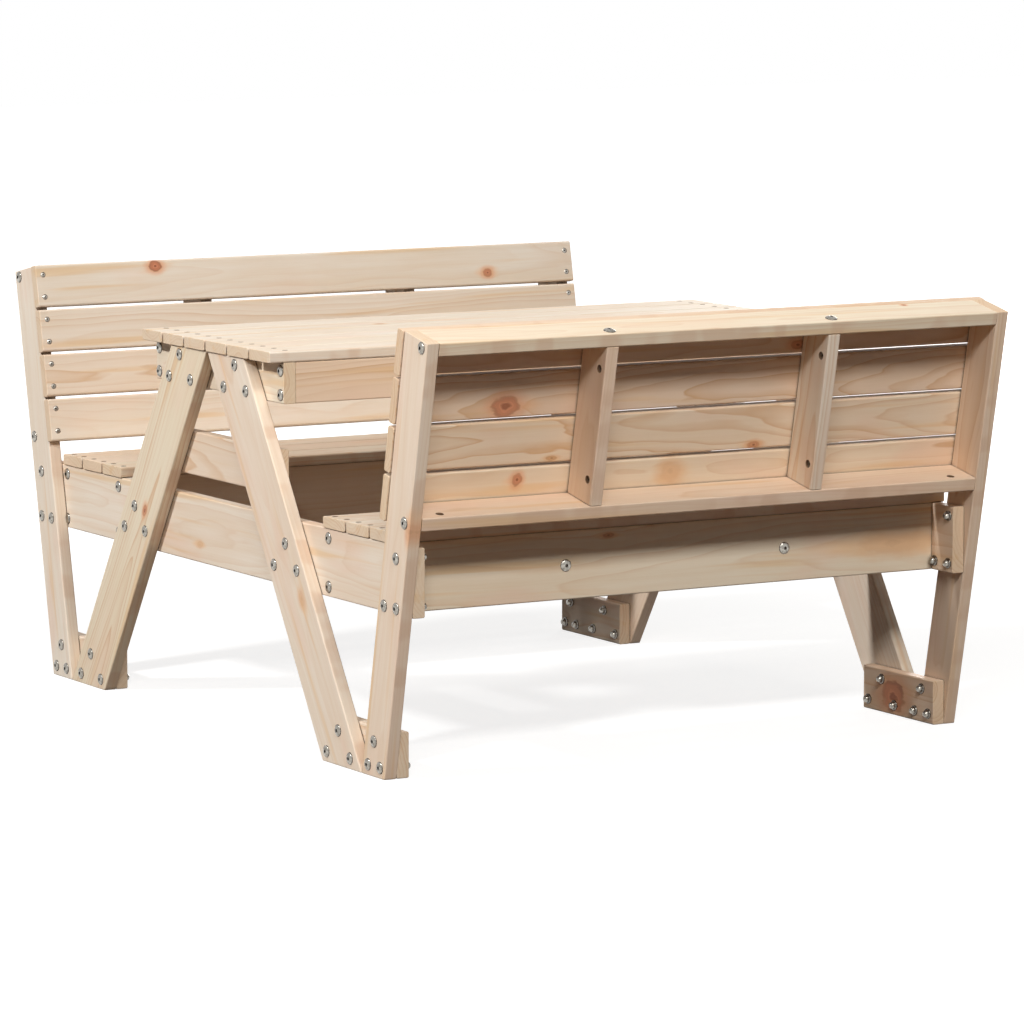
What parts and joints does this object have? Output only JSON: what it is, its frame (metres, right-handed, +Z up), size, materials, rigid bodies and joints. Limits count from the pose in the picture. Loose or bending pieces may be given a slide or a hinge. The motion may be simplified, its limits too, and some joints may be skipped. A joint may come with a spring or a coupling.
{
  "type": "children's picnic table with backrest benches",
  "caption": "Low slatted picnic table for children, joined by A-shaped ends to two facing benches with leaning slatted backrests.",
  "frame": {"origin": "on the floor, in the middle under the table top", "axes": "+X along the slats to the right-hand end, +Y across to the rear bench, +Z up"},
  "size_m": [0.886, 1.2218, 0.5833],
  "materials": {
    "slat_pine": "untreated planed pine, pale, with soft grain lines and a few reddish knots",
    "frame_pine": "untreated planed pine, pale, with soft grain lines and end grain on the cut ends",
    "bolt_steel": "zinc-plated steel, satin",
    "screw_steel": "dull zinc-plated steel"
  },
  "bodies": {
    "root": {"table_slat_1": "slat_pine", "table_slat_2": "slat_pine", "table_slat_3": "slat_pine", "table_slat_4": "slat_pine", "table_slat_5": "slat_pine", "table_slat_6": "slat_pine", "table_cleat_left": "frame_pine", "table_cleat_right": "frame_pine", "table_apron_front": "frame_pine", "table_apron_rear": "frame_pine", "leg_front_left": "frame_pine", "leg_front_right": "frame_pine", "leg_rear_left": "frame_pine", "leg_rear_right": "frame_pine", "post_front_left": "frame_pine", "post_front_right": "frame_pine", "post_rear_left": "frame_pine", "post_rear_right": "frame_pine", "foot_board_front_left": "frame_pine", "foot_board_front_right": "frame_pine", "foot_board_rear_left": "frame_pine", "foot_board_rear_right": "frame_pine", "crossbar_left": "frame_pine", "crossbar_right": "frame_pine", "leg_brace_left": "frame_pine", "leg_brace_right": "frame_pine", "seat_front_inner_board": "frame_pine", "seat_rear_inner_board": "frame_pine", "seat_front_outer_board": "frame_pine", "seat_rear_outer_board": "frame_pine", "seat_rib_front_left": "frame_pine", "seat_rib_front_right": "frame_pine", "seat_rib_rear_left": "frame_pine", "seat_rib_rear_right": "frame_pine", "seat_slat_front_1": "slat_pine", "seat_slat_front_2": "slat_pine", "seat_slat_front_3": "slat_pine", "seat_slat_rear_1": "slat_pine", "seat_slat_rear_2": "slat_pine", "seat_slat_rear_3": "slat_pine", "back_top_rail_front": "frame_pine", "back_top_rail_rear": "frame_pine", "back_bottom_rail_front": "frame_pine", "back_bottom_rail_rear": "frame_pine", "back_rib_front_left": "frame_pine", "back_rib_front_right": "frame_pine", "back_rib_rear_left": "frame_pine", "back_rib_rear_right": "frame_pine", "back_slat_front_1": "slat_pine", "back_slat_front_2": "slat_pine", "back_slat_front_3": "slat_pine", "back_slat_front_4": "slat_pine", "back_slat_rear_1": "slat_pine", "back_slat_rear_2": "slat_pine", "back_slat_rear_3": "slat_pine", "back_slat_rear_4": "slat_pine", "bolts": "bolt_steel", "cap_nuts": "bolt_steel", "barrel_nuts": "bolt_steel", "slat_screws": "screw_steel"}
  },
  "joints": []
}
